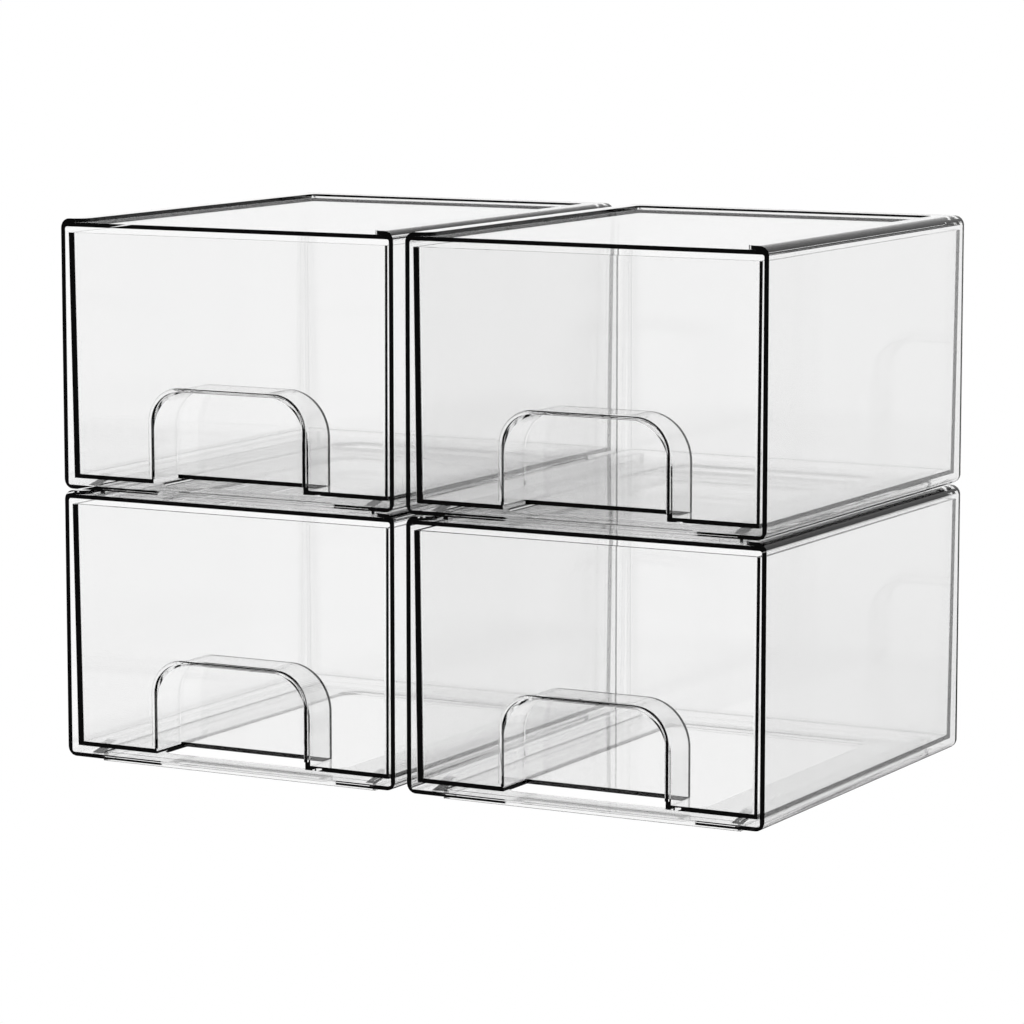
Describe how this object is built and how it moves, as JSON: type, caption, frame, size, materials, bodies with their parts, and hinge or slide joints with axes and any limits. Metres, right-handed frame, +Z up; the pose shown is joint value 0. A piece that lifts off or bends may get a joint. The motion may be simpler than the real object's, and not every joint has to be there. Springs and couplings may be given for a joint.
{
  "type": "stackable drawer box",
  "caption": "Clear stacking boxes with pull-out drawers, each a sleeve case with a raised top rim and a drawer with an arched finger pocket, stacked as a set.",
  "frame": {"origin": "on the surface that the set stands on, under the middle of the set", "axes": "+Z up, -Y the way the drawers pull out, +X to the right as seen from the front"},
  "size_m": [0.3418, 0.206, 0.2422],
  "materials": {
    "case_plastic": "clear, polished, moulded in one piece",
    "drawer_plastic": "clear, polished, moulded in one piece"
  },
  "bodies": {
    "lower_cases": {"lower_left_case": "case_plastic", "lower_right_case": "case_plastic"},
    "upper_left_case": {"upper_left_case": "case_plastic"},
    "upper_right_case": {"upper_right_case": "case_plastic"},
    "lower_left_drawer": {"lower_left_drawer": "drawer_plastic"},
    "lower_right_drawer": {"lower_right_drawer": "drawer_plastic"},
    "upper_left_drawer": {"upper_left_drawer": "drawer_plastic"},
    "upper_right_drawer": {"upper_right_drawer": "drawer_plastic"}
  },
  "joints": [
    {"name": "upper_left_case_lift", "type": "slide", "parent": "lower_cases", "child": "upper_left_case", "axis": [0, 0, 1], "range_m": [0, 0.05]},
    {"name": "upper_right_case_lift", "type": "slide", "parent": "lower_cases", "child": "upper_right_case", "axis": [0, 0, 1], "range_m": [0, 0.05]},
    {"name": "lower_left_drawer_slide", "type": "slide", "parent": "lower_cases", "child": "lower_left_drawer", "axis": [0, -1, 0], "range_m": [0, 0.15]},
    {"name": "lower_right_drawer_slide", "type": "slide", "parent": "lower_cases", "child": "lower_right_drawer", "axis": [0, -1, 0], "range_m": [0, 0.15]},
    {"name": "upper_left_drawer_slide", "type": "slide", "parent": "upper_left_case", "child": "upper_left_drawer", "axis": [0, -1, 0], "range_m": [0, 0.15]},
    {"name": "upper_right_drawer_slide", "type": "slide", "parent": "upper_right_case", "child": "upper_right_drawer", "axis": [0, -1, 0], "range_m": [0, 0.15]}
  ]
}
